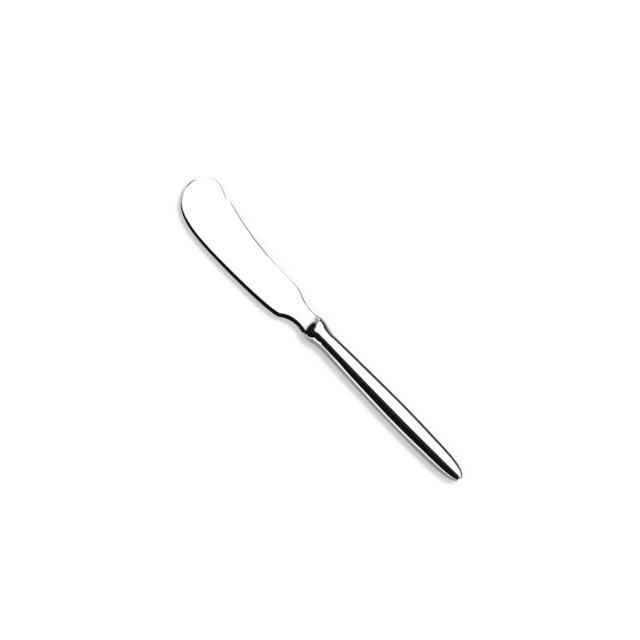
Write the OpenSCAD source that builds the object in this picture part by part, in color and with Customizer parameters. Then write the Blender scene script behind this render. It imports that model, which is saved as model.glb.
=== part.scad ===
// Butter knife with a hollow handle: one forged blade, two pressed half shells, the braze
// between them and the cement that holds the tang.
// X runs from the blade's tip to the butt, Y towards the blade's back, Z up from the table.

/* [Whole knife] */
// Length from the blade's tip to the butt
knife_l = 170; // [155:1:190]
// Length that shows in front of the handle's mouth
blade_l = 80.8; // [74:0.2:90]

/* [Blade outline] */
// Radius of the round tip
tip_r = 9.6; // [9:0.1:10.2]
// Height of the tip's centre above the handle's axis
tip_rise = 4.85; // [4.2:0.05:5.4]
// Distance from the tip to the notch behind the hump
notch_x = 15.9; // [15:0.1:18]
// Height of the notch above the handle's axis
notch_rise = 11.65; // [11:0.05:12.2]
// Step from the notch up to the spur behind it
spur_step = 0.6; // [0.3:0.05:1]
// Height of the back's hollow above the handle's axis
back_rise = 7.35; // [6.6:0.05:8.2]
// Distance from the back's hollow to the neck
back_l = 16; // [14:0.2:20]
// Distance from the middle of the back's slope to the neck
drop_l = 6.6; // [6:0.1:7.4]
// Drop of the edge at its fullest, below the handle's axis
edge_drop = 9.25; // [8.5:0.05:10.4]
// Distance from the tip to the edge's fullest place
edge_full_x = 37; // [33:1:42]
// Distance from the middle of the heel's slope to the neck
heel_l = 7.4; // [6.7:0.1:8.3]

/* [Blade section] */
// Thickness between the flats at the tip
tip_t = 1.3; // [1:0.05:1.6]
// Thickness between the flats at the heel
heel_t = 1.8; // [1.5:0.05:2.1]
// Thickness of the neck, into which the flats rise from the heel
neck_t = 2.3; // [2.1:0.05:2.8]
// Thickness of the rounded rim
rim_t = 0.7; // [0.5:0.05:0.8]
// Slope of the ground rim, in degrees from the flat
rim_angle = 21; // [17:1:28]

/* [Neck and shoulder] */
// Width of the neck
neck_w = 9; // [8.4:0.05:9.6]
// Distance from the neck to the handle's mouth
neck_l = 5.8; // [5:0.1:6.8]
// Radius of the neck's rounded sides, as a share of half its thickness
neck_roundness = 0.56; // [0.4:0.02:0.7]
// Length of the hollow slope that rises from the flat to the mouth
shoulder_l = 4.8; // [4.2:0.1:5.4]
// Radius of the crest where that slope meets the mouth
crest_r = 1.2; // [0.6:0.1:1.8]

/* [Handle] */
// Width of the handle at its mouth
mouth_w = 10.8; // [10.2:0.1:11.6]
// Width of the handle's waist
waist_w = 8.4; // [7.8:0.05:9.4]
// Distance from the mouth to the waist
waist_l = 10.5; // [9:0.1:12.5]
// Width of the handle's belly
belly_w = 10.2; // [9.4:0.1:11]
// Distance from the mouth to the belly
belly_l = 53; // [46:1:58]
// Thickness of the handle, as a share of its width
thickness_ratio = 0.7; // [0.66:0.01:0.8]
// Wall of the pressed shells
shell_t = 0.8; // [0.6:0.05:1]
// Thickness of the braze in its joints
braze_t = 0.1; // [0.06:0.01:0.16]

/* [Tang and cement] */
// Length of the spigot that fills the mouth
spigot_l = 3; // [2:0.25:4.5]
// Clearance between the spigot and the shells
spigot_gap = 0.1; // [0.05:0.01:0.2]
// Length of the tang beyond the spigot
tang_l = 46; // [36:1:54]
// Width of the tang at the spigot
tang_w = 4; // [3.2:0.1:4.2]
// Width of the tang at its end
tang_end_w = 2.8; // [2.2:0.1:3.2]
// Thickness of the tang
tang_t = 1.8; // [1.2:0.1:2]
// Radius of the half-round notches that key the tang in the cement
tang_notch_r = 0.6; // [0.4:0.05:0.8]
// Number of notches along each edge of the tang
tang_notches = 4; // [2:1:6]
// Length of cement beyond the tang's end
cement_cover = 18; // [6:1:22]

/* [Hidden] */
round_sides = 96;
steel = "#d9dadb";
braze_colour = "#c9c4b4";
cement_colour = "#b7b1a3";

// Curves are cubic. A bow leaves its start a and reaches its end b in given directions, and its
// two pulls say how long it keeps them, as shares of the distance from a to b.
function cubic(a, b, c, d, t) =
    pow(1 - t, 3) * a + 3 * pow(1 - t, 2) * t * b + 3 * (1 - t) * t * t * c + pow(t, 3) * d;
function curve(a, b, c, d, n) = [for (i = [0:n]) cubic(a, b, c, d, i / n)];
function aim(p, distance, angle) = p + distance * [cos(angle), sin(angle)];
function bow(a, a_angle, a_pull, b, b_angle, b_pull, n = 24) = let(l = norm(b - a))
    curve(a, aim(a, a_pull * l, a_angle), aim(b, -b_pull * l, b_angle), b, n);
function smooth(s) = let(c = min(max(s, 0), 1)) c * c * (3 - 2 * c);
function heights(list) = [for (p = list) p[1]];

// The round tip runs from the hump, anticlockwise round the front, to where the edge leaves it
tip = [tip_r, tip_rise];
hump_angle = 99;
edge_angle = 208;
hump = aim(tip, tip_r, hump_angle);
edge_start = aim(tip, tip_r, edge_angle);

// Knots of the outline
neck_x = blade_l - neck_l;
neck_back = [neck_x, neck_w / 2];
neck_edge = [neck_x, -neck_w / 2];
mouth_back = [blade_l, mouth_w / 2];
mouth_edge = [blade_l, -mouth_w / 2];
notch = [notch_x, notch_rise];
spur_l = 2.4;
spur = notch + [spur_l, spur_step];
hollow = [neck_x - back_l, back_rise];
drop = [neck_x - drop_l, (neck_back[1] + back_rise) / 2];
drop_angle = -20;
full = [edge_full_x, -edge_drop];
heel = [neck_x - heel_l, (neck_edge[1] - edge_drop) / 2];
heel_angle = 40;
mouth_angle = 5;

// Upper outline, from the hump over the notch and the spur to the mouth
back_line = concat(
    bow(hump, hump_angle - 90, 0.145, notch, -40, 0.29),
    bow(notch, -20, 0.28, spur, 30, 0.32, 12),
    bow(spur, -12, 0.14, hollow, 0, 0.59),
    bow(hollow, 0, 0.65, drop, drop_angle, 0.44),
    bow(drop, drop_angle, 0.19, neck_back, 0, 0.32),
    bow(neck_back, 0, 0.68, mouth_back, mouth_angle, 0.48));

// Lower outline, the edge, from the tip over the heel to the mouth
edge_line = concat(
    bow(edge_start, edge_angle + 90, 0.275, full, 0, 0.55),
    bow(full, 0, 0.2, heel, heel_angle, 0.105),
    bow(heel, heel_angle, 0.34, neck_edge, 0, 0.37),
    bow(neck_edge, 0, 0.68, mouth_edge, -mouth_angle, 0.48));

// Half widths of the handle, from its mouth over the waist and the belly to the blunt butt
waist = [blade_l + waist_l, waist_w / 2];
belly = [blade_l + belly_l, belly_w / 2];
butt = [knife_l, 0];
butt_pull = 0.83;
butt_bluntness = 0.765;
handle_line = concat(
    bow(mouth_back, mouth_angle, 0.365, waist, 0, 0.63, 16),
    bow(waist, 0, 0.05, belly, 0, 0.47, 16),
    curve(belly, belly + [butt_pull * (knife_l - belly[0]), 0],
        butt + [0, butt_bluntness * belly[1]], butt, 24));

// Where the whole knife lies: middle of its length and width over the origin, on the table
top_y = max(heights(back_line));
low_y = min(heights(edge_line));
rest_z = thickness_ratio * max(heights(handle_line));
module placed() {
    translate([-knife_l / 2, -(top_y + low_y) / 2, rest_z]) children();
}

// Stations along the blade, closer together at the notch and from the heel to the mouth
notch_margin = [1, 1.6];
heel_margin = 6;
notch_zone = [notch_x - notch_margin[0], spur[0] + notch_margin[1]];
heel_zone = heel[0] - heel_margin;
spans = [[tip_r, notch_zone[0], 5], [notch_zone[0], notch_zone[1], 12],
    [notch_zone[1], heel_zone, 14], [heel_zone, blade_l, 26]];
stations = concat([for (s = spans) for (i = [0:s[2] - 1]) s[0] + (s[1] - s[0]) * i / s[2]],
    [blade_l]);
fan_steps = 22;
low_steps = 7;
last = len(stations) - 1;
fan = concat(
    [for (i = [0:fan_steps]) aim(tip, tip_r, hump_angle + (edge_angle - hump_angle) * i / fan_steps)],
    [for (i = [1:low_steps - 1]) let(x = edge_start[0] + (tip_r - edge_start[0]) * i / low_steps)
        [x, lookup(x, edge_line)]]);

// The outline as one open loop: back from the mouth to the tip, round it, and along the edge
outline = concat(
    [for (i = [last:-1:0]) [stations[i], lookup(stations[i], back_line)]],
    fan,
    [for (i = [0:last]) [stations[i], lookup(stations[i], edge_line)]]);
count = len(outline);

// Half thickness at the middle of the blade, with the hollow slope up to the mouth: two arcs, the
// hollow one and then the crest, which touch where the slope is steepest
mouth_z = thickness_ratio * mouth_w / 2;
slope_x = blade_l - shoulder_l;
function swell(x) = smooth((x - heel[0]) / (neck_x - heel[0]));
function flat_z(x) = (tip_t + (heel_t - tip_t) * min(x / heel[0], 1)
    + (neck_t - heel_t) * swell(x)) / 2;
slope_rise = mouth_z - flat_z(blade_l);
slope_r = (pow(slope_rise, 2) + pow(shoulder_l, 2)) / (2 * slope_rise) - crest_r;
crest_x = blade_l - shoulder_l * crest_r / (slope_r + crest_r);
function arc_rise(r, distance) = r - sqrt(pow(r, 2) - pow(distance, 2));
function middle_z(x) = x < slope_x ? flat_z(x)
    : x < crest_x ? flat_z(x) + arc_rise(slope_r, x - slope_x)
    : flat_z(x) + slope_rise - arc_rise(crest_r, blade_l - x);

// The rim's section: a round nose, which grows from the heel to the neck, and then the ground
// slope up to the flat
nose_steps = 4;
rim_steps = 9;
nose_end = 90 - rim_angle;
function nose_r(x) = (1 - swell(x)) * rim_t / 2 + swell(x) * neck_roundness * flat_z(x);
function rim_z(x, k) = k <= nose_steps ? nose_r(x) * sin(nose_end * k / nose_steps)
    : let(z = nose_r(x) * sin(nose_end))
        z + (flat_z(x) - z) * (k - nose_steps) / (rim_steps - nose_steps);
function rim_d(x, k) = k <= nose_steps ? nose_r(x) * (1 - cos(nose_end * k / nose_steps))
    : nose_r(x) * (1 - cos(nose_end)) + (rim_z(x, k) - rim_z(x, nose_steps)) / tan(rim_angle);

// Towards the mouth the section turns into the handle's oval, whose innermost rings stop just
// short of its middle
oval_l = 4;
oval_reach = 0.99;
function ovalness(x) = smooth((x - blade_l + oval_l) / oval_l);
function half_w(x) = (lookup(x, back_line) - lookup(x, edge_line)) / 2;
function oval_d(x, k) = oval_reach * half_w(x) * (1 - cos(90 * k / rim_steps));
function oval_z(x, k) = middle_z(x) * sin(90 * k / rim_steps);
function inset(x, k, stretch) = let(m = ovalness(x))
    (1 - m) * stretch * rim_d(x, k) + m * oval_d(x, k);
function height(x, k) = let(m = ovalness(x))
    (1 - m) * rim_z(x, k) * middle_z(x) / flat_z(x) + m * oval_z(x, k);

// Each outline point moves inwards, square to the handle's axis or, round the tip, to its centre,
// and further where the outline runs at a slant, so that the rim stays as wide
nearby = 3;
least_sine = 0.7;
function inward(j) = let(p = outline[j])
    p[0] < tip_r ? (tip - p) / norm(tip - p) : [0, j <= last ? -1 : 1];
function slant(j) = let(t = outline[min(j + nearby, count - 1)] - outline[max(j - nearby, 0)],
    w = inward(j)) norm(t) / max(abs(t[0] * w[1] - t[1] * w[0]), least_sine * norm(t));
function ring_point(j, k, side) = let(p = outline[j], q = p + inward(j) * inset(p[0], k, slant(j)))
    [q[0], q[1], side * height(p[0], k)];

// Points: the outline, then the rings of the upper face, then those of the lower face
function ring_start(k, side) = k == 0 ? 0 : count * (side > 0 ? k : rim_steps + k);
function quad(a, b, c, d, side) = side > 0 ? [[a, b, c], [a, c, d]] : [[a, c, b], [a, d, c]];
blade_points = concat(
    [for (j = [0:count - 1]) ring_point(j, 0, 1)],
    [for (side = [1, -1]) for (k = [1:rim_steps]) for (j = [0:count - 1]) ring_point(j, k, side)]);
rim_faces = [for (side = [1, -1]) for (k = [0:rim_steps - 1]) for (j = [0:count - 2])
    let(a = ring_start(k, side), b = ring_start(k + 1, side))
    each quad(a + j + 1, a + j, b + j, b + j + 1, side)];
flat_faces = [for (side = [1, -1]) for (j = [0:(count - 1) / 2 - 1])
    let(s = ring_start(rim_steps, side))
    each quad(s + j + 1, s + j, s + count - 1 - j, s + count - 2 - j, side)];
mouth_face = concat(
    [for (k = [0:rim_steps]) ring_start(k, 1)],
    [for (k = [rim_steps:-1:0]) ring_start(k, 1) + count - 1],
    [for (k = [1:rim_steps]) ring_start(k, -1) + count - 1],
    [for (k = [rim_steps:-1:1]) ring_start(k, -1)]);

// The forging's body, from the tip to the shoulder that meets the handle's mouth
module blade_body() {
    polyhedron(blade_points, concat(rim_faces, flat_faces, [mouth_face]));
}

// The handle's hollow: the outline drawn in by one wall, and closed before the butt by a thicker
// one; the line ends where less than hollow_tip walls are left between outline and axis
hollow_tip = 1.2;
end_wall_ratio = 1.3;
end_wall = end_wall_ratio * shell_t;
handle_l = knife_l - blade_l;
hollow_ratio = (thickness_ratio * belly_w / 2 - shell_t) / (belly_w / 2 - shell_t);
hollow_line = concat(
    [for (p = handle_line) if (p[1] > hollow_tip * shell_t)
        [blade_l + (p[0] - blade_l) * (handle_l - end_wall) / handle_l, p[1] - shell_t]],
    [[knife_l - end_wall, 0]]);
function hollow_w(x) = lookup(x, hollow_line);
function between(line, from, to) = concat([[from, lookup(from, line)]],
    [for (p = line) if (p[0] > from && p[0] < to) p], [[to, lookup(to, line)]]);

// An oval solid about X, from its half widths along X: a half turn above the blade's plane and
// its mirror image below
module half_oval(line, ratio) {
    ends = [[0, line[0][0]], [0, line[len(line) - 1][0]]];
    scale([1, 1, ratio]) rotate([0, 90, 0]) rotate([0, 0, 90])
        rotate_extrude(angle = 180, $fn = round_sides)
            polygon(concat([ends[0]], [for (p = line) [p[1], p[0]]], [ends[1]]));
}
module oval_solid(line, ratio) {
    half_oval(line, ratio);
    mirror([0, 0, 1]) half_oval(line, ratio);
}

// A pressed shell in front of the blade's plane, cut back by the braze at its seam and its mouth
open_l = 1;
module half_shell() {
    block = [handle_l + open_l, 2 * mouth_w, mouth_w];
    intersection() {
        difference() {
            half_oval(handle_line, thickness_ratio);
            half_oval(concat([[blade_l - open_l, hollow_w(blade_l)]], hollow_line), hollow_ratio);
        }
        translate([blade_l + braze_t, -mouth_w, braze_t / 2]) cube(block);
    }
}

// The tang's outline, with half-round notches along both edges
tang_x = blade_l + spigot_l;
tang_end_x = tang_x + tang_l;
tang_step = tang_l / (tang_notches + 1);
function tang_half(x) = (tang_w + (tang_end_w - tang_w) * (x - tang_x) / tang_l) / 2;
module tang_outline(root) {
    round_x = tang_end_x - tang_end_w / 2;
    difference() {
        union() {
            polygon([[tang_x - root, tang_w / 2], [tang_x - root, -tang_w / 2],
                [round_x, -tang_end_w / 2], [round_x, tang_end_w / 2]]);
            translate([round_x, 0]) circle(d = tang_end_w, $fn = 48);
        }
        for (i = [1:tang_notches], side = [1, -1]) let(x = tang_x + i * tang_step)
            translate([x, side * (tang_half(x) + tang_notch_r / 2)]) circle(r = tang_notch_r, $fn = 32);
    }
}
module tang(root) {
    translate([0, 0, -tang_t / 2]) linear_extrude(tang_t) tang_outline(root);
}

// One forging: blade, neck, shoulder, the spigot in the handle's mouth and the tang
spigot_root = 0.25;
module blade() {
    root_line = [[blade_l - spigot_root, hollow_w(blade_l) - spigot_gap]];
    spigot_line = [for (p = between(hollow_line, blade_l, tang_x)) [p[0], p[1] - spigot_gap]];
    color(steel) placed() union() {
        blade_body();
        oval_solid(concat(root_line, spigot_line), hollow_ratio);
        tang(spigot_l / 2);
    }
}

module handle_front_shell() {
    color(steel) placed() half_shell();
}

module handle_back_shell() {
    color(steel) placed() mirror([0, 0, 1]) half_shell();
}

// Braze fills the seam between the shells, all round the handle, and the ring at the mouth
function plan(line) = concat(line, [for (i = [len(line) - 1:-1:0]) [line[i][0], -line[i][1]]]);
module seam_braze() {
    color(braze_colour) placed() {
        translate([0, 0, -braze_t / 2]) linear_extrude(braze_t) difference() {
            polygon(plan(between(handle_line, blade_l + braze_t / 2, knife_l)));
            polygon(plan(between(hollow_line, blade_l, knife_l - end_wall)));
        }
        translate([blade_l, 0, 0]) rotate([0, 90, 0]) linear_extrude(braze_t) difference() {
            scale([thickness_ratio, 1]) circle(d = mouth_w, $fn = round_sides);
            scale([hollow_ratio, 1]) circle(hollow_w(blade_l), $fn = round_sides);
        }
    }
}

// Cement poured round the tang before the blade is pushed home
module tang_cement() {
    color(cement_colour) placed() difference() {
        oval_solid(between(hollow_line, tang_x, tang_end_x + cement_cover), hollow_ratio);
        tang(open_l);
    }
}

blade();
handle_front_shell();
handle_back_shell();
seam_braze();
tang_cement();
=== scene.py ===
import math

import bmesh
import bpy
import numpy as np
from mathutils import Matrix, Vector


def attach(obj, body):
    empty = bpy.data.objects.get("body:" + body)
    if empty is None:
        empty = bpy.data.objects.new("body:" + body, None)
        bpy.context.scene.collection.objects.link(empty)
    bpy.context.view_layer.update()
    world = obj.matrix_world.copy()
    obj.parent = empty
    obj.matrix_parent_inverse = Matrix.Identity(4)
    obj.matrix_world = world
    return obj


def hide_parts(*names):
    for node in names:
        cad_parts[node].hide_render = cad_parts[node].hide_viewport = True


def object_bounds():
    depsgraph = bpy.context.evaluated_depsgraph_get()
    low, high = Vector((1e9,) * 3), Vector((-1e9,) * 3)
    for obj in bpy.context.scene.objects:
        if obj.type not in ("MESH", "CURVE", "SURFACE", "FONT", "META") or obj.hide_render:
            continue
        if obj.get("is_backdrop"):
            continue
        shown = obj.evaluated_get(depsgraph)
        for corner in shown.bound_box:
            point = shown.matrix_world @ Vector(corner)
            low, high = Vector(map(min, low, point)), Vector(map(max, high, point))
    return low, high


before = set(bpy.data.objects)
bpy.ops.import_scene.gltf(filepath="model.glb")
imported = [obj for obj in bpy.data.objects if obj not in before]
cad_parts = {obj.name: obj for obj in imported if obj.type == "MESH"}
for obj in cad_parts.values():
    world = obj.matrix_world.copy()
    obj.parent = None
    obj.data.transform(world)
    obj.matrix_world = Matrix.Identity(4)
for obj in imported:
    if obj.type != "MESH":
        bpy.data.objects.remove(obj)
cad_low, cad_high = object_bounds()

# Blade: one stainless forging, from the round tip over the ground rim, the notch in its back and
# the neck to the hollow shoulder at the handle's mouth. Both faces are ground flat, thicker
# towards the neck, and the whole is polished to a mirror. Its spigot and tang sit in the handle.
MM = 0.001
tip_x = cad_low.x
axis_z = (cad_low.z + cad_high.z) / 2
blade_l = 80.8
edge_drop = 9.25
axis_y = cad_low.y + edge_drop * MM
tip_r, tip_rise = 9.6, 4.85
hump_angle, edge_angle = 99, 208
notch = (15.9, 11.65)
spur = (18.3, 12.25)
hollow = (59.0, 7.35)
neck_x, neck_half = 75.0, 4.5
drop, drop_angle = (68.4, 5.925), -20
full = (37.0, -edge_drop)
heel, heel_angle = (67.6, -6.875), 40
mouth_half, mouth_angle = 5.4, 5
mouth_ratio = 0.6985  # a hair under the solids' 0.7, which keeps the swell behind the mouth in their box
tip_t, heel_t, neck_t, rim_t = 1.3, 1.8, 2.3, 0.7
rim_angle, neck_roundness = 21, 0.56
rim_ease_r, neck_ease_r, flat_step = 0.3, 1.5, 0.3
shoulder_l, crest_r, oval_l, oval_reach = 4.8, 1.2, 4.0, 0.99
spigot_half, spigot_l = 4.5, 3.0
tang_l, tang_half, tang_end_half, tang_t = 46.0, 2.0, 1.4, 1.8
tang_notch_r, tang_notches = 0.6, 4


def put(points):
    """Points in millimetres from the blade's tip on the handle's axis, as points of the frame."""
    return np.asarray(points, float) * MM + np.array([tip_x, axis_y, axis_z])


def aim(point, distance, angle):
    turn = math.radians(angle)
    return np.array(point) + distance * np.array([math.cos(turn), math.sin(turn)])


def curve(a, b, c, d, steps):
    t = np.linspace(0, 1, steps + 1)[:, None]
    a, b, c, d = (np.array(p, float) for p in (a, b, c, d))
    return (1 - t) ** 3 * a + 3 * (1 - t) ** 2 * t * b + 3 * (1 - t) * t * t * c + t**3 * d


def bow(a, a_angle, a_pull, b, b_angle, b_pull, steps=60):
    """A curve that leaves a and reaches b in given directions, with pulls as shares of its span."""
    span = math.dist(a, b)
    return curve(a, aim(a, a_pull * span, a_angle), aim(b, -b_pull * span, b_angle), b, steps)


def height_of(line, x):
    return np.interp(x, line[:, 0], line[:, 1])


def smooth(s):
    c = np.clip(s, 0, 1)
    return c * c * (3 - 2 * c)


tip = (tip_r, tip_rise)
hump = aim(tip, tip_r, hump_angle)
edge_start = aim(tip, tip_r, edge_angle)
neck_back, neck_edge = (neck_x, neck_half), (neck_x, -neck_half)
back_line = np.concatenate([
    bow(hump, hump_angle - 90, 0.145, notch, -40, 0.29),
    bow(notch, -20, 0.28, spur, 30, 0.32),
    bow(spur, -12, 0.14, hollow, 0, 0.59),
    bow(hollow, 0, 0.65, drop, drop_angle, 0.44),
    bow(drop, drop_angle, 0.19, neck_back, 0, 0.32),
    bow(neck_back, 0, 0.68, (blade_l, mouth_half), mouth_angle, 0.48),
])
edge_line = np.concatenate([
    bow(edge_start, edge_angle + 90, 0.275, full, 0, 0.55),
    bow(full, 0, 0.2, heel, heel_angle, 0.105),
    bow(heel, heel_angle, 0.34, neck_edge, 0, 0.37),
    bow(neck_edge, 0, 0.68, (blade_l, -mouth_half), -mouth_angle, 0.48),
])


def outline_points():
    """The outline as one open loop: back from the mouth to the tip, round it, and along the edge. Its
    points stand closest at the notch and from the heel to the mouth."""
    spans = [(tip_r, notch[0] - 1, 22), (notch[0] - 1, spur[0] + 1.6, 64),
             (spur[0] + 1.6, heel[0] - 6, 84), (heel[0] - 6, blade_l, 130)]
    stations = np.concatenate([np.linspace(a, b, n, endpoint=False) for a, b, n in spans] + [[blade_l]])
    back = np.column_stack([stations, height_of(back_line, stations)])[::-1]
    fan = np.array([aim(tip, tip_r, a) for a in np.linspace(hump_angle, edge_angle, 75)])
    low_x = np.linspace(edge_start[0], tip_r, 36)[1:-1]
    low = np.column_stack([low_x, height_of(edge_line, low_x)])
    edge = np.column_stack([stations, height_of(edge_line, stations)])
    loop = np.concatenate([back, fan, low, edge])
    loop[:, 1] = np.minimum(loop[:, 1], (cad_high.y - axis_y) / MM)
    return loop if len(loop) % 2 else np.delete(loop, len(back) + 2, axis=0)


def inward_of(loop):
    """Unit directions into the blade, square to the outline and evened out over even_l millimetres. Over
    the straighten_l before the neck they turn straight across."""
    even_l, straighten_l = 0.8, 4
    step = np.gradient(loop, axis=0)
    square = np.column_stack([-step[:, 1], step[:, 0]])
    square /= np.linalg.norm(square, axis=1)[:, None]
    run = np.concatenate([[0], np.cumsum(np.linalg.norm(np.diff(loop, axis=0), axis=1))])
    weight = np.exp(-((run[:, None] - run[None, :]) / even_l) ** 2 / 2)
    weight *= np.gradient(run)[None, :]
    even = weight @ square
    even /= np.linalg.norm(even, axis=1)[:, None]
    straight = np.column_stack([np.zeros(len(loop)), -np.sign(loop[:, 1])])
    share = smooth((loop[:, 0] - neck_x + straighten_l) / straighten_l)[:, None]
    even = (1 - share) * even + share * straight
    return even / np.linalg.norm(even, axis=1)[:, None], square


def swell(x):
    return smooth((x - heel[0]) / (neck_x - heel[0]))


def flat_height(x):
    return (tip_t + (heel_t - tip_t) * np.minimum(x / heel[0], 1) + (neck_t - heel_t) * swell(x)) / 2


def middle_height(x):
    """Half thickness along the middle: the flat, the hollow slope from it and the crest at the mouth."""
    rise = mouth_ratio * mouth_half - flat_height(blade_l)
    radii = (rise**2 + shoulder_l**2) / (2 * rise)
    slope_r = radii - crest_r
    crest_x = blade_l - shoulder_l * crest_r / radii
    run = np.clip(x - (blade_l - shoulder_l), 0, crest_x - blade_l + shoulder_l)
    left = np.clip(blade_l - x, 0, blade_l - crest_x)
    on_slope = slope_r - np.sqrt(slope_r**2 - run**2)
    on_crest = rise - crest_r + np.sqrt(crest_r**2 - left**2)
    return flat_height(x) + np.where(x < crest_x, on_slope, on_crest)


nose_steps, slope_steps, ease_steps = 9, 5, 9
rings = nose_steps + slope_steps + ease_steps + 1


def rim_section(x):
    """The rim's insets and heights at x: a round nose, the ground slope and its easing into the flat."""
    flat = flat_height(x)
    slope = math.radians(rim_angle)
    nose_r = (1 - swell(x)) * rim_t / 2 + swell(x) * neck_roundness * flat
    ease_r = rim_ease_r + (neck_ease_r - rim_ease_r) * swell(x)
    inset, height = [], []
    for k in range(nose_steps + 1):
        turn = (math.pi / 2 - slope) * k / nose_steps
        inset.append(nose_r * (1 - np.cos(turn)))
        height.append(nose_r * np.sin(turn))
    start_d, start_z = inset[-1], height[-1]
    meet = start_d + (flat - start_z) / np.tan(slope)
    reach = np.minimum(ease_r * np.tan(slope / 2), 0.6 * (meet - start_d))
    ease_r = reach / np.tan(slope / 2)
    end_d, end_z = meet - reach * np.cos(slope), flat - reach * np.sin(slope)
    for k in range(1, slope_steps + 1):
        inset.append(start_d + (end_d - start_d) * k / slope_steps)
        height.append(start_z + (end_z - start_z) * k / slope_steps)
    for k in range(1, ease_steps + 1):
        turn = slope * (1 - k / ease_steps)
        inset.append(meet + reach - ease_r * np.sin(turn))
        height.append(flat - ease_r * (1 - np.cos(turn)))
    inset.append(inset[-1] + flat_step)
    height.append(flat)
    return np.array(inset), np.array(height)


def blade_surface():
    """Rings from the outline inwards, then columns across the flat, for the upper side."""
    loop = outline_points()
    inward, square = inward_of(loop)
    x = loop[:, 0]
    inset, height = rim_section(x)
    share = smooth((x - blade_l + oval_l) / oval_l)
    half = (height_of(back_line, x) - height_of(edge_line, x)) / 2
    turn = np.radians(90) * np.arange(rings + 1)[:, None] / rings
    slant = 1 / np.clip(np.sum(inward * square, axis=1), 0.7, 1)
    inset = (1 - share) * slant * inset + share * oval_reach * half * (1 - np.cos(turn))
    middle_z = middle_height(x)
    height = (1 - share) * height * middle_z / flat_height(x) + share * middle_z * np.sin(turn)
    plan = loop[None] + inward[None] * inset[:, :, None]
    upper = np.concatenate([plan, height[:, :, None]], axis=2)
    last, columns = upper[-1], 10
    middle = (len(loop) + 1) // 2
    one, other = last[:middle], last[::-1][:middle]
    across = [one + (other - one) * c / columns for c in range(1, columns)]
    return upper, np.array(across)


def grid_faces(a, b):
    """Quads between two rows of vertex numbers."""
    return [(a[i], a[i + 1], b[i + 1], b[i]) for i in range(len(a) - 1)]


def loft_blade():
    """Both sides of the blade up to the mouth, which stays open."""
    upper, across = blade_surface()
    half = across.shape[1]
    bm = bmesh.new()
    for side in (1, -1):
        flip = np.array([1, 1, side])
        rows = [[bm.verts.new(p) for p in put(row * flip)] for row in upper]
        spans = [[bm.verts.new(p) for p in put(row * flip)] for row in across]
        inner = rows[-1]
        columns = [inner[:half]] + spans + [inner[::-1][:half]]
        faces = [f for a, b in zip(rows, rows[1:]) for f in grid_faces(a, b)]
        faces += [f for a, b in zip(columns, columns[1:]) for f in grid_faces(a, b)]
        for face in faces:
            face = list(dict.fromkeys(face))
            if len(face) > 2:
                bm.faces.new(face if side > 0 else face[::-1])
    bmesh.ops.remove_doubles(bm, verts=bm.verts, dist=1e-7)
    bmesh.ops.dissolve_degenerate(bm, edges=bm.edges, dist=1e-7)
    return bm


def add_spigot(bm):
    """The mouth's face, and the oval spigot that goes on from it into the handle."""
    centre = Vector(put((blade_l, 0, 0)))
    open_edges = [e for e in bm.edges if e.is_boundary]
    for shift, size in ((0, spigot_half / mouth_half), (spigot_l, 1)):
        grown = bmesh.ops.extrude_edge_only(bm, edges=open_edges)["geom"]
        open_edges = [g for g in grown if isinstance(g, bmesh.types.BMEdge)]
        for v in {v for e in open_edges for v in e.verts}:
            v.co = Vector((v.co.x + shift * MM, centre.y + (v.co.y - centre.y) * size,
                           centre.z + (v.co.z - centre.z) * size))
    bmesh.ops.holes_fill(bm, edges=open_edges, sides=0)


def tang_outline():
    """The tang's plan, tapered to a round end, with half-round notches along both edges."""
    start, end = blade_l + spigot_l, blade_l + spigot_l + tang_l
    side = [(start - 1, tang_half)]
    for i in range(1, tang_notches + 1):
        x = start + tang_l * i / (tang_notches + 1)
        y = tang_half + (tang_end_half - tang_half) * (x - start) / tang_l
        side += [tuple(aim((x, y), tang_notch_r, a)) for a in np.linspace(180, 360, 13)]
    round_x = end - tang_end_half
    side += [tuple(aim((round_x, 0), tang_end_half, a)) for a in np.linspace(90, 0, 13)]
    return side + [(x, -y) for x, y in side[-2::-1]]


def add_tang(bm):
    plan = tang_outline()
    top = [bm.verts.new(put((x, y, tang_t / 2))) for x, y in plan]
    low = [bm.verts.new(put((x, y, -tang_t / 2))) for x, y in plan]
    bm.faces.new(top[::-1])
    bm.faces.new(low)
    for i in range(len(plan)):
        j = (i + 1) % len(plan)
        bm.faces.new((top[i], top[j], low[j], low[i]))


def finish_mesh(bm, name, sharp=35):
    """A smooth-shaded object from a bmesh, with its faces turned outwards and creases kept."""
    bmesh.ops.recalc_face_normals(bm, faces=bm.faces)
    mesh = bpy.data.meshes.new(name)
    bm.to_mesh(mesh)
    bm.free()
    mesh.shade_smooth()
    mesh.set_sharp_from_angle(angle=math.radians(sharp))
    obj = bpy.data.objects.new(name, mesh)
    bpy.context.scene.collection.objects.link(obj)
    return obj


def linear(hex_colour):
    """An sRGB colour such as E6E6E4 as linear RGBA."""
    parts = [int(hex_colour[i:i + 2], 16) / 255 for i in (0, 2, 4)]
    return [p / 12.92 if p <= 0.04045 else ((p + 0.055) / 1.055) ** 2.4 for p in parts] + [1.0]


def add(tree, kind, settings=None, **inputs):
    """Adds a node; each input is a value or a socket to link, by name (_ for a space) or by number."""
    node = tree.nodes.new(kind)
    for key, value in (settings or {}).items():
        setattr(node, key, value)
    for key, value in inputs.items():
        socket = node.inputs[int(key[1:])] if key[1:].isdigit() else node.inputs[key.replace("_", " ")]
        if isinstance(value, bpy.types.NodeSocket):
            tree.links.new(value, socket)
        else:
            socket.default_value = value
    return node


def new_material(name):
    material = bpy.data.materials.new(name)
    material.use_nodes = True
    material.node_tree.nodes.clear()
    return material, material.node_tree


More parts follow.
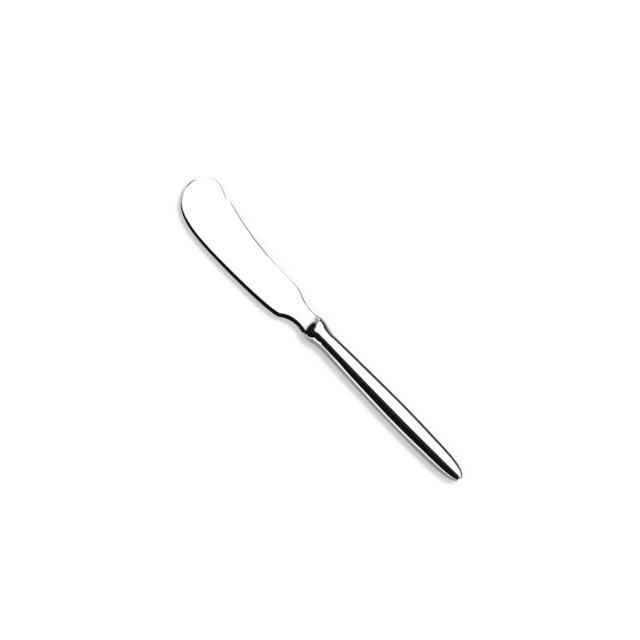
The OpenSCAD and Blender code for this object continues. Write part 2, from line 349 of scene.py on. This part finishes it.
def mirror_polished_steel(name, colour, grain_along, grain_across):
    """Stainless steel buffed to a mirror: bright and neutral, with faint buffing lines along the knife
    that only show close by, and a soft haze of about a patch to each centimetre, left by wiping."""
    material, tree = new_material(name)
    place = add(tree, "ShaderNodeTexCoord").outputs["Object"]
    along = add(tree, "ShaderNodeMapping", Vector=place,
                Scale=(1 / (grain_along * MM), 1 / (grain_across * MM), 1 / (grain_across * MM))).outputs[0]
    lines = add(tree, "ShaderNodeTexNoise", Vector=along,
                Scale=1.0, Detail=3.0, Roughness=0.6).outputs["Fac"]
    haze = add(tree, "ShaderNodeTexNoise", Vector=place, Scale=0.09 / MM, Detail=2.0).outputs["Fac"]
    mixed = add(tree, "ShaderNodeMath", {"operation": "MULTIPLY_ADD"}, _0=lines, _1=0.5, _2=haze).outputs[0]
    rough = add(tree, "ShaderNodeMapRange", Value=mixed,
                From_Min=0.4, From_Max=1.1, To_Min=0.03, To_Max=0.075)
    bump = add(tree, "ShaderNodeBump", Height=lines, Strength=0.02, Distance=0.02 * MM)
    shader = add(tree, "ShaderNodeBsdfPrincipled", Base_Color=linear(colour), Metallic=1.0,
                 Roughness=rough.outputs[0], Normal=bump.outputs[0])
    add(tree, "ShaderNodeOutputMaterial", Surface=shader.outputs[0])
    return material


bm = loft_blade()
add_spigot(bm)
add_tang(bm)
blade = finish_mesh(bm, "blade_forging")
blade_steel = mirror_polished_steel("Stainless steel, mirror polished forging", "F0F0EE", 9, 0.35)
blade.data.materials.append(blade_steel)
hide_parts("blade")
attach(blade, "root")

# Handle shells: two half ovals pressed from stainless sheet, brazed together in the blade's plane
# and polished over, so that they read as one piece. They narrow behind the mouth, swell to the
# belly and close in a blunt butt.
knife_l = (cad_high.x - cad_low.x) / MM
wall, end_wall, braze_t = 0.8, 1.04, 0.1
mouth, waist, belly, butt = (blade_l, mouth_half), (91.3, 4.2), (133.8, 5.1), (knife_l, 0)
hollow_ratio = (mouth_ratio * belly[1] - wall) / (belly[1] - wall)


def handle_spans():
    """The half-width line from mouth to butt as Bezier spans: start, its handle, end's handle, end."""
    first, second = math.dist(mouth, waist), math.dist(waist, belly)
    return [
        (mouth, aim(mouth, 0.365 * first, mouth_angle), aim(waist, -0.63 * first, 0), waist),
        (waist, aim(waist, 0.05 * second, 0), aim(belly, -0.47 * second, 0), belly),
        (belly, aim(belly, 0.83 * (butt[0] - belly[0]), 0), aim(butt, 0.765 * belly[1], 90), butt),
    ]


def half_width_line(name):
    """The half-width line as a curve object, starting at the mouth, for the node tree to sweep along."""
    spans = handle_spans()
    data = bpy.data.curves.new(name, "CURVE")
    data.dimensions, data.resolution_u = "3D", 200
    spline = data.splines.new("BEZIER")
    spline.bezier_points.add(len(spans))
    for i, knot in enumerate(spline.bezier_points):
        centre = spans[i][0] if i < len(spans) else spans[-1][3]
        before = spans[i - 1][2] if i else centre
        after = spans[i][1] if i < len(spans) else centre
        knot.handle_left_type = knot.handle_right_type = "FREE"
        for key, (x, y) in (("co", centre), ("handle_left", before), ("handle_right", after)):
            setattr(knot, key, ((x - mouth[0] - braze_t) * MM, y * MM, 0))
    obj = bpy.data.objects.new(name, data)
    bpy.context.scene.collection.objects.link(obj)
    return obj


def half_oval_wall():
    """Geometry Nodes: a half-oval wall along the half-width line, closed at the mouth and the butt. The
    columns of a grid go round it, out over the outside and back along the inside, and its rows run from
    the mouth to the butt, where they stand closer."""
    tree = bpy.data.node_groups.new("half_oval_wall", "GeometryNodeTree")
    inputs = {"Half Width Line": "Object", "Place": "Vector", "Side": "Float", "Outside Ratio": "Float",
              "Inside Ratio": "Float", "Wall": "Float", "Inside Length Share": "Float",
              "Half Seam": "Float", "Rows": "Int", "Arc Points": "Int", "Steel": "Material"}
    for label, kind in inputs.items():
        tree.interface.new_socket(label, in_out="INPUT", socket_type=f"NodeSocket{kind}")
    tree.interface.new_socket("Shell", in_out="OUTPUT", socket_type="NodeSocketGeometry")
    given = add(tree, "NodeGroupInput").outputs
    grid = add(tree, "GeometryNodeMeshGrid", Vertices_Y=given["Rows"])
    line = add(tree, "GeometryNodeObjectInfo", Object=given["Half Width Line"]).outputs["Geometry"]
    sample = add(tree, "GeometryNodeSampleCurve", {"mode": "FACTOR"}, Curves=line)
    on_line = add(tree, "ShaderNodeSeparateXYZ", Vector=sample.outputs["Position"]).outputs
    value = {label: given[label] for label, kind in inputs.items() if kind in ("Float", "Int")}
    value.update(index=add(tree, "GeometryNodeInputIndex").outputs[0], x=on_line["X"], half=on_line["Y"])

    # Each sum: the name of its result, the operation, and what goes in.
    sums = [
        ("columns", "MULTIPLY_ADD", "Arc Points", 2.0, 1.0),
        ("column", "ADD", "index", 0.5),
        ("column", "DIVIDE", "column", "Rows"),
        ("column", "FLOOR", "column"),
        ("row", "MULTIPLY", "column", "Rows"),
        ("row", "SUBTRACT", "index", "row"),
        ("last row", "SUBTRACT", "Rows", 2.0),
        ("along", "SUBTRACT", "row", 1.0),
        ("along", "DIVIDE", "along", "last row"),
        ("along", "MAXIMUM", "along", 0.0),
        ("eased", "SUBTRACT", 1.0, "along"),
        ("eased", "POWER", "eased", 1.5),
        ("eased", "SUBTRACT", 1.0, "eased"),
        ("all round", "MULTIPLY", "Arc Points", 2.0),
        ("around", "MODULO", "column", "all round"),
        ("inside", "SUBTRACT", "Arc Points", 0.5),
        ("inside", "GREATER_THAN", "around", "inside"),
        ("outside", "SUBTRACT", 1.0, "inside"),
        ("back again", "MULTIPLY_ADD", "Arc Points", 2.0, -1.0),
        ("back again", "SUBTRACT", "back again", "around"),
        ("back again", "MULTIPLY", "inside", "back again"),
        ("turn", "MULTIPLY", "outside", "around"),
        ("turn", "ADD", "back again", "turn"),
        ("last point", "SUBTRACT", "Arc Points", 1.0),
        ("turn", "DIVIDE", "turn", "last point"),
        ("turn", "MULTIPLY", "turn", math.pi),
        ("cosine", "COSINE", "turn"),
        ("sine", "SINE", "turn"),
        ("inner x", "MULTIPLY", "x", "Inside Length Share"),
        ("inner half", "SUBTRACT", "half", "Wall"),
        ("inner half", "MAXIMUM", "inner half", 0.0),
        ("closing", "LESS_THAN", "row", 0.5),
        ("not closing", "SUBTRACT", 1.0, "closing"),
        ("halfway", "MULTIPLY", "closing", 0.5),
        ("share", "MULTIPLY", "not closing", "inside"),
        ("share", "ADD", "halfway", "share"),
    ]
    for half, ratio, y, z in (("half", "Outside Ratio", "outer y", "outer z"),
                              ("inner half", "Inside Ratio", "inner y", "inner z")):
        sums += [(y, "MULTIPLY", half, "cosine"), (z, "MULTIPLY", half, ratio), (z, "MULTIPLY", z, "sine"),
                 (z, "MAXIMUM", z, "Half Seam"), (z, "MULTIPLY", z, "Side")]
    for name, operation, *terms in sums:
        sockets = {f"_{i}": value.get(term, term) for i, term in enumerate(terms)}
        value[name] = add(tree, "ShaderNodeMath", {"operation": operation}, **sockets).outputs[0]
    tree.links.new(value["columns"], grid.inputs["Vertices X"])
    tree.links.new(value["eased"], sample.inputs["Factor"])

    outer, inner = (add(tree, "ShaderNodeCombineXYZ", X=value[x], Y=value[y], Z=value[z]).outputs[0]
                    for x, y, z in (("x", "outer y", "outer z"), ("inner x", "inner y", "inner z")))
    spot = add(tree, "ShaderNodeMix", {"data_type": "VECTOR"},
               _0=value["share"], _4=outer, _5=inner).outputs[1]
    placed = add(tree, "ShaderNodeVectorMath", {"operation": "ADD"}, _0=spot, _1=given["Place"]).outputs[0]
    swept = add(tree, "GeometryNodeSetPosition", Geometry=grid.outputs["Mesh"], Position=placed).outputs[0]
    merged = add(tree, "GeometryNodeMergeByDistance", Geometry=swept, Distance=0.0001 * MM).outputs[0]
    real = add(tree, "GeometryNodeRealizeInstances", Geometry=merged).outputs[0]
    shell = add(tree, "GeometryNodeSetMaterial", Geometry=real, Material=given["Steel"]).outputs[0]
    add(tree, "NodeGroupOutput", Shell=shell)
    return tree


def from_tree(name, tree, **values):
    """A plain mesh made by the node tree, with its inputs set by name through their identifiers."""
    host = bpy.data.objects.new(name, bpy.data.meshes.new(name))
    bpy.context.scene.collection.objects.link(host)
    modifier = host.modifiers.new(name, "NODES")
    modifier.node_group = tree
    for socket in tree.interface.items_tree:
        if socket.in_out == "INPUT":
            modifier[socket.identifier] = values[socket.name.replace(" ", "_")]
    mesh = bpy.data.meshes.new_from_object(host.evaluated_get(bpy.context.evaluated_depsgraph_get()))
    host.modifiers.remove(modifier)
    bm = bmesh.new()
    bm.from_mesh(mesh)
    materials = list(mesh.materials)
    bpy.data.objects.remove(host)
    piece = finish_mesh(bm, name)
    for material in materials:
        piece.data.materials.append(material)
    return piece


handle_steel = mirror_polished_steel("Stainless steel sheet, pressed and mirror polished", "F1F1EF", 12, 0.3)
line_object = half_width_line("half_width_line")
wall_tree = half_oval_wall()
handle_l = knife_l - blade_l - braze_t
for node, side in (("handle_front_shell", 1.0), ("handle_back_shell", -1.0)):
    shell = from_tree(
        node + "_sheet", wall_tree, Half_Width_Line=line_object, Side=side, Outside_Ratio=mouth_ratio,
        Inside_Ratio=hollow_ratio, Wall=wall * MM, Inside_Length_Share=1 - end_wall / handle_l,
        Half_Seam=braze_t / 2 * MM, Rows=360, Arc_Points=60, Steel=handle_steel,
        Place=tuple(put((blade_l + braze_t, 0, 0))))
    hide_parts(node)
    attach(shell, "root")
bpy.data.objects.remove(line_object)

# Braze: the silver alloy that runs round between the two shells and fills the joint at the mouth,
# ground flush with the steel and polished with it, with a grain of 0.4 mm. Only its edge shows, as a
# hairline.
braze_in_joint, tree = new_material("Silver braze, polished flush")
place = add(tree, "ShaderNodeTexCoord").outputs["Object"]
grain = add(tree, "ShaderNodeTexNoise", Vector=place, Scale=2.5 / MM, Detail=3.0).outputs["Fac"]
tone = add(tree, "ShaderNodeMix", {"data_type": "RGBA"},
           _0=grain, _6=linear("E9E7DE"), _7=linear("F0EEE7")).outputs[2]
rough = add(tree, "ShaderNodeMapRange", Value=grain, To_Min=0.06, To_Max=0.14).outputs[0]
shader = add(tree, "ShaderNodeBsdfPrincipled", Base_Color=tone, Metallic=1.0, Roughness=rough)
add(tree, "ShaderNodeOutputMaterial", Surface=shader.outputs[0])


def ring_between(bm, outer, inner):
    """A closed ring from four matching loops: outer and inner, each as a pair of near and far points."""
    loops = [[bm.verts.new(p) for p in loop] for loop in (outer[0], outer[1], inner[1], inner[0])]
    for a, b in zip(loops, loops[1:] + loops[:1]):
        for i in range(len(a)):
            j = (i + 1) % len(a)
            bm.faces.new((a[i], a[j], b[j], b[i]))


def level(points, z):
    """A plan at one height, as points of the frame."""
    return put(np.column_stack([points, np.full(len(points), z)]))


handle_line = np.concatenate([[mouth]] + [curve(*span, 120)[1:] for span in handle_spans()])
within = handle_line[handle_line[:, 1] > 1.2 * wall]
hollow_x = blade_l + (within[:, 0] - blade_l) * (1 - end_wall / handle_l)
steps, hollow_steps = np.linspace(0, 1, len(handle_line)), np.linspace(0, 1, len(within))
inner_line = np.column_stack([np.interp(steps, hollow_steps, c) for c in (hollow_x, within[:, 1] - wall)])
bm = bmesh.new()
sides = []
for line in (handle_line, inner_line):
    loop = np.concatenate([line, (line * [1, -1])[-2::-1]])
    sides.append([level(loop, z) for z in (-braze_t / 2, braze_t / 2)])
ring_between(bm, *sides)
turns = np.linspace(0, 2 * math.pi, 240, endpoint=False)
sides = [[put(np.column_stack([np.full(len(turns), x), r * np.cos(turns), r * ratio * np.sin(turns)]))
          for x in (blade_l, blade_l + braze_t)]
         for r, ratio in ((mouth_half, mouth_ratio), (mouth_half - wall, hollow_ratio))]
ring_between(bm, *sides)
braze = finish_mesh(bm, "braze_joint")
braze.data.materials.append(braze_in_joint)
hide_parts("seam_braze")
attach(braze, "root")

# Tang cement: the pale filler poured into the handle round the tang. It sets hard and matte, and
# the shells hide it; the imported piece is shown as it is, with the filler's grain of about 0.55 mm.
filler, tree = new_material("Mineral cement, set")
place = add(tree, "ShaderNodeTexCoord").outputs["Object"]
sand = add(tree, "ShaderNodeTexNoise", Vector=place,
           Scale=1.8 / MM, Detail=6.0, Roughness=0.7).outputs["Fac"]
tone = add(tree, "ShaderNodeMix", {"data_type": "RGBA"},
           _0=sand, _6=linear("B9B3A5"), _7=linear("D8D3C7")).outputs[2]
bump = add(tree, "ShaderNodeBump", Height=sand, Strength=0.4, Distance=0.1 * MM).outputs[0]
shader = add(tree, "ShaderNodeBsdfPrincipled", Base_Color=tone, Roughness=0.9, Normal=bump)
add(tree, "ShaderNodeOutputMaterial", Surface=shader.outputs[0])
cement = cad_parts["tang_cement"]
for slot in cement.material_slots:
    slot.material = filler

# Table: the white sheet that the knife lies on. It takes the soft shadow, and mirrors and the
# camera see it as bright as the white around.
floor_mesh = bpy.data.meshes.new("table_sheet")
corners = ((-3, -3), (3, -3), (3, 3), (-3, 3))
floor_mesh.from_pydata([(x, y, cad_low.z) for x, y in corners], [], [(0, 1, 2, 3)])
floor = bpy.data.objects.new("table_sheet", floor_mesh)
bpy.context.scene.collection.objects.link(floor)
paper, tree = new_material("White seamless paper")
rays = add(tree, "ShaderNodeLightPath").outputs
seen = rays["Is Camera Ray"]
for ray in ("Is Glossy Ray", "Is Transmission Ray"):
    seen = add(tree, "ShaderNodeMath", {"operation": "MAXIMUM"}, _0=seen, _1=rays[ray]).outputs[0]
glow = add(tree, "ShaderNodeMath", {"operation": "MULTIPLY"}, _0=seen, _1=0.25).outputs[0]
emission = add(tree, "ShaderNodeEmission", Color=(1, 1, 1, 1), Strength=glow)
diffuse = add(tree, "ShaderNodeBsdfDiffuse", Color=(0.8, 0.8, 0.8, 1))
both = add(tree, "ShaderNodeAddShader", _0=diffuse.outputs[0], _1=emission.outputs[0])
add(tree, "ShaderNodeOutputMaterial", Surface=both.outputs[0])
floor_mesh.materials.append(paper)
floor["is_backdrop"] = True

# Cards: black and grey strips round the knife that only mirrors see. Each stands where one side or
# edge of the knife reflects it, which draws the dark bands and lines and leaves the faces bright.
# Their tables are in degrees, and in millimetres from the blade's tip on the handle's axis.
BLACK, GREY = 0.006, 0.3
above_table = (cad_low.z - axis_z) / MM + 0.2
shoulder_x = blade_l - 0.05
arc_r = 25  # of the cards round the handle
gap = 1  # from the blade's outline to the cards beside it
soft = 0.15  # a card's soft border
edge_begins = 199  # degrees round the tip's centre


def card(name, rows, tone, cover=1.0, one_sided=False):
    """A strip through rows of points; tone is its grey and cover its opacity at each point."""
    rows = np.asarray(rows, float)
    count, width = rows.shape[:2]
    mesh = bpy.data.meshes.new(name)
    mesh.from_pydata(put(rows.reshape(-1, 3)).tolist(), [],
                     [(i * width + j, i * width + j + 1, (i + 1) * width + j + 1, (i + 1) * width + j)
                      for i in range(count - 1) for j in range(width - 1)])
    strip = bpy.data.objects.new(name, mesh)
    bpy.context.scene.collection.objects.link(strip)
    material, tree = new_material(name + ", matt card")
    read = []
    for label, values in (("tone", tone), ("cover", cover)):
        values = np.broadcast_to(np.asarray(values, float), rows.shape[:2])
        mesh.attributes.new(label, "FLOAT", "POINT").data.foreach_set("value", values.reshape(-1))
        read.append(add(tree, "ShaderNodeAttribute", {"attribute_name": label}).outputs["Fac"])
    opaque = read[1]
    if one_sided:
        behind = add(tree, "ShaderNodeNewGeometry").outputs["Backfacing"]
        front = add(tree, "ShaderNodeMath", {"operation": "SUBTRACT"}, _0=1.0, _1=behind).outputs[0]
        opaque = add(tree, "ShaderNodeMath", {"operation": "MULTIPLY"}, _0=opaque, _1=front).outputs[0]
    matt = add(tree, "ShaderNodeEmission", Color=(1, 1, 1, 1), Strength=read[0]).outputs[0]
    clear = add(tree, "ShaderNodeBsdfTransparent").outputs[0]
    surface = add(tree, "ShaderNodeMixShader", _0=opaque, _1=clear, _2=matt).outputs[0]
    add(tree, "ShaderNodeOutputMaterial", Surface=surface)
    mesh.materials.append(material)
    strip.visible_camera = strip.visible_diffuse = strip.visible_shadow = False
    strip.visible_transmission = strip.visible_volume_scatter = False
    strip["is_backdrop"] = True


def spread(table, places):
    """The further columns of a short table, read at many places of its first column."""
    table = np.asarray(table, float)
    return [np.interp(places, table[:, 0], column) for column in table.T[1:]]


def round_the_axis(places, angles):
    """Rows of points on a cylinder about the handle's axis; angles run from the top to the edge's side."""
    turns = np.radians(angles)
    x = np.broadcast_to(np.asarray(places, float)[:, None], turns.shape)
    return np.stack([x, -arc_r * np.sin(turns), arc_r * np.cos(turns)], axis=2)


# Over the handle, for its black band, with a paler stripe: place, first and last angle.
x = np.linspace(70, 260, 300)
first, last = spread([
    (70, 24, 40), (76, 12, 58), (78, 7, 69), (82, 3, 70), (88, 3, 56), (90.2, -3, 50), (91, -3, 42),
    (91.7, -3, 39), (92.3, -2.5, 45), (93.4, -2, 46), (95.2, -1.6, 44.5), (99, -1, 50.5), (104, -0.6, 55.5),
    (109, -0.5, 56.5), (120, 0, 59), (130, -0.3, 61.5), (140, -0.8, 60), (151, -3.2, 55.3), (158, -5.4, 54),
    (163, -6.8, 54), (169, -9, 54.5), (175, -12, 55), (200, -22, 58), (260, -35, 66)], x)
stripe = 0.04
shares = (0.16, 0.2, 0.25, 0.29, 0.45, 0.6, 0.75, 0.9)
across = [first - 0.7, first + 0.5] + [first + (last - first) * s for s in shares] + [last - 1, last + 1]
card("card_over_handle", round_the_axis(x, np.array(across).T), [BLACK] * 3 + [stripe] * 2 + [BLACK] * 7,
     cover=[0] + [1] * 10 + [0])

# Low on the edge's side, for the grey line under the handle: place and first angle. This card and the
# grey sheet on the table are painted shadow: only mirrors see them, and their grey stands for the knife's
# shadow on the table as the handle's underside reflects it.
x = np.linspace(60, 240, 140)
first, = spread([
    (60, 80), (84, 72), (90, 61), (91.5, 61), (93, 63), (96, 66), (99, 69), (109, 73), (119, 80),
    (130, 82), (140, 80), (151, 70.5), (159, 66), (165, 64.5), (173, 65), (200, 58), (240, 52)], x)
tone, = spread([(60, 0.55), (80, 0.5), (90, GREY), (240, GREY)], x)
ends, = spread([(60, 0), (68, 1), (225, 1), (240, 0)], x)
across = np.array([first - 2, first + 1, first + 8, np.full_like(first, 96)]).T
card("grey_card_low", round_the_axis(x, across), tone[:, None], cover=ends[:, None] * [0, 1, 1, 1])
card("grey_card_on_table", [[(a, -5.5, above_table), (a, -60, above_table)] for a in x], tone[:, None],
     cover=ends[:, None])

# Upright beside the back's side, for the dark line there: place, distance, bottom and top.
wall_rows = np.array([
    (76, 10, -1, 3), (82, 10, -1, 3.4), (87.3, 10, 1, 6.8), (89.6, 10, 0.5, 6), (90.4, 10, -1.6, 4.6),
    (91.7, 10, -2.3, 4.1), (95.6, 10, -4, 3.7), (109.5, 9.8, -4, 3.65), (119.7, 9.7, -4, 3.25),
    (130, 8.5, -4, 2.6), (140, 9.3, -4, 2.9), (150, 10, -4, 3.45), (156, 8.2, -4, 2.7), (160, 6.3, -4, 2.1),
    (164, 5, -4, 1.9), (166, 4.4, -4, 1.7), (168, 3.6, -4, 1.4), (169.5, 2.6, -4, 1.1),
    (170.6, 1.3, -4, 0.9), (171, 0.2, -4, 0.8)])
steps = np.linspace(0, len(wall_rows) - 1, 120)
x, away, low, top = (np.interp(steps, range(len(wall_rows)), column) for column in wall_rows.T)
low = np.maximum(low, above_table)
heights = (low, low + soft, top - soft, top + soft)
ends, = spread([(76, 0), (79.5, 1), (200, 1)], x)
card("dark_wall", np.stack([np.column_stack([x, away, z]) for z in heights], axis=1), 0.035,
     cover=ends[:, None] * [0.6, 1, 1, 0])
# A grey sheet on the table by the waist, which only mirrors see: painted shade, its grey standing for the
# shaded table next to the handle as the waist's side reflects it.
card("grey_card_at_waist", [[(a, 5, above_table), (a, 60, above_table)] for a in (76, 80, 92, 98, 106)], 0.5,
     cover=[[0], [1], [1], [0.7], [0]])

# Round the tip and along the edge, for the dark line on the rim there: place, or degrees before the
# edge begins, with bottom, top and tone.
loop = outline_points()
inward = inward_of(loop)[0]
turn = np.degrees(np.arctan2(loop[:, 1] - tip_rise, loop[:, 0] - tip_r)) % 360


def beside(points, facing, *rows):
    """Rows of points off the outline, from pairs of a distance and a height."""
    rows = [(np.broadcast_to(d, len(points)), np.broadcast_to(h, len(points))) for d, h in rows]
    return np.stack([np.column_stack([points - facing * d[:, None], h]) for d, h in rows], axis=1)


edge = (turn > 155) & (turn < 355) & (loop[:, 0] < shoulder_x)
points, facing, past_tip = loop[edge], inward[edge], turn[edge] - edge_begins
low, top, tone = spread([
    (-44, 2, 2.05, BLACK), (-39, 1.85, 2.1, BLACK), (-34, 1.65, 2.2, BLACK), (-29, 1.65, 2.25, BLACK),
    (-19, 1.6, 2.35, BLACK), (-14, 1.65, 2.25, BLACK), (-9, 1.7, 2.15, BLACK), (0, 1.8, 1.95, BLACK),
    (0.5, -4, 2.2, 0.7), (1.4, -4, 2.25, 0.55), (3, -4, 2.3, 0.46), (4, -4, 2.2, 0.2), (5, -4, 2.2, 0.03),
    (6, -4, 2.35, BLACK), (8, -4, 2.65, BLACK), (11, -4, 3.1, BLACK), (14, -4, 2.4, BLACK),
    (17, -4, 2, BLACK), (30, -4, 2.1, BLACK), (50, -4, 2.1, BLACK), (64, -4, 1.9, BLACK),
    (70, -4, 1.9, BLACK), (71.5, 0.6, 2.1, BLACK), (74, 1.2, 2.1, BLACK), (76, 1.65, 2.2, BLACK),
    (78, 2.4, 4, BLACK), (80, 3.3, 6, BLACK), (80.8, 3.7, 6, BLACK)],
    np.where(past_tip < 0, past_tip, points[:, 0]))
low = np.maximum(low, above_table)
heights = (low - 0.1, low, top - soft, top + 0.1)
card("card_by_edge", beside(points, facing, *((gap, z) for z in heights)), tone[:, None], cover=[0, 1, 1, 0])

# Far beyond the edge and bent over it, where the rim's ground slope points: place and two covers,
# then the bend's distances and heights.
far = (past_tip > 0) & (points[:, 0] > 7) & (points[:, 0] < 79.5)
ends, upper = spread([(7.5, 0, 0), (10, 1, 1), (69, 1, 1), (71, 1, 0), (80, 1, 0)], points[far, 0])
bend = ((60, 49), (60, 52), (60, 84), (58, 85), (42, 98), (18, 108), (14, 109))
card("card_beyond_edge", beside(points[far], facing[far], *bend), BLACK,
     cover=np.stack([ends * 0, ends, ends, upper, upper, upper, ends * 0], axis=1))

# Along the back, low, for its thin broken line: place and top.
back = (loop[:, 1] > 4) & (turn < 125) & (loop[:, 0] < shoulder_x)
points, facing = loop[back], inward[back]
top, = spread([
    (4.5, -1), (6, 0), (7, 0.35), (8, 0.85), (10, 1.2), (12, 1.4), (14, 1.62), (15, 1.2), (16, 0.3),
    (16.4, -2.5), (18.3, -2.5), (19, 1.4), (20, 1.6), (24, 1.65), (44, 1.75), (48, 1.2), (52, 0.2),
    (56, 0.15), (60, 0.62), (64, 1.65), (66, 1.65), (68, 1.7), (70, 1.85), (71, 1.6), (72, 1), (74, -0.7),
    (76, 0), (78, 0.5), (80.8, 0.6)], points[:, 0])
card("card_by_back", beside(points, facing, *((gap, z) for z in (above_table, top, top + soft))), 0.02,
     cover=[1, 1, 0])

# Upright before the shoulder and facing it: a low one for its hollow slope, which stands taller beside
# the neck, and a high one for its crest. Towards the back's side both are grey. The covers are given
# by height, for the low part and for the one beside the neck.
sides = np.array([-45, -20, -5.4, -5.2, 2.2, 3, 8, 12])
heights = (0.8, 2.7, 3.1, 3.8, 6.5, 12, 14)
fading, by_neck = np.array([(1, 1), (1, 1), (0.55, 1), (0.25, 1), (0, 1), (0, 1), (0, 0)]).T[:, :, None]
card("card_before_slope", [[(74 - 0.06 * z, y, z) for y in sides] for z in heights],
     [BLACK] * 5 + [GREY] * 3, cover=np.maximum(fading, by_neck * (sides < -5.3)) * ([0] + [1] * 6 + [0]),
     one_sided=True)
sides = (-45, -20, 2, 2.8, 10, 16)
leaning = ((3, 1.6), (3.3, 1.6), (36, 15), (100, 28), (250, 34), (500, 34))
card("card_over_crest", [[(76.5 - 0.02 * z, y + lean * (y > 0), z) for y in sides] for z, lean in leaning],
     [BLACK] * 3 + [GREY] * 3, cover=np.array([[0, 1, 1, 1, 1, 0]]).T * [0, 1, 1, 1, 1, 0], one_sided=True)

# Light: one broad soft lamp from beyond the blade's back, which lays the shadow towards the edge,
# and the white room around. The camera sees it as plain white and mirrors see it a little darker
# towards the horizon.
lamp_data = bpy.data.lights.new("soft_lamp", "SUN")
lamp_data.energy, lamp_data.angle = 1.5, math.radians(20)
lamp = bpy.data.objects.new("soft_lamp", lamp_data)
lamp.rotation_euler = Vector((0.03, 0.54, 1.0)).to_track_quat("Z", "Y").to_euler()
lamp.visible_glossy = False
bpy.context.scene.collection.objects.link(lamp)
world = bpy.data.worlds.new("white_room")
bpy.context.scene.world = world
world.use_nodes = True
tree = world.node_tree
tree.nodes.clear()
rays = add(tree, "ShaderNodeLightPath").outputs
clear_view = add(tree, "ShaderNodeMath", {"operation": "MAXIMUM"},
                 _0=rays["Is Camera Ray"], _1=rays["Is Transmission Ray"]).outputs[0]
direction = add(tree, "ShaderNodeTexCoord").outputs["Generated"]
height = add(tree, "ShaderNodeSeparateXYZ", Vector=direction).outputs["Z"]
mirrored = add(tree, "ShaderNodeMapRange", {"interpolation_type": "SMOOTHSTEP"}, Value=height,
               From_Min=0.0, From_Max=0.55, To_Min=0.82, To_Max=1.15).outputs[0]
light = add(tree, "ShaderNodeMix", {"data_type": "FLOAT"},
            _0=rays["Is Glossy Ray"], _2=0.55, _3=mirrored).outputs[0]
light = add(tree, "ShaderNodeMix", {"data_type": "FLOAT"}, _0=clear_view, _2=light, _3=1.0).outputs[0]
room = add(tree, "ShaderNodeBackground", Color=(1, 1, 1, 1), Strength=light)
add(tree, "ShaderNodeOutputWorld", Surface=room.outputs[0])

# Camera: straight above, turned so that the knife runs from the upper left to the lower right.
right, up = Vector((0.69764, 0.71645, 0)), Vector((-0.71645, 0.69764, 0))
picture_middle = (80.34, 4.478, 0)
camera_height, picture_width, film_width = 1.2, 0.2706, 36
camera_data = bpy.data.cameras.new("camera")
camera_data.sensor_width = film_width
camera_data.lens = film_width * camera_height / picture_width
camera = bpy.data.objects.new("camera", camera_data)
place = Matrix((right, up, (0, 0, 1))).transposed().to_4x4()
place.translation = Vector(put(picture_middle)) + Vector((0, 0, camera_height))
camera.matrix_world = place
bpy.context.scene.collection.objects.link(camera)
bpy.context.scene.camera = camera
bpy.context.scene.view_settings.view_transform = "Standard"

low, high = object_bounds()
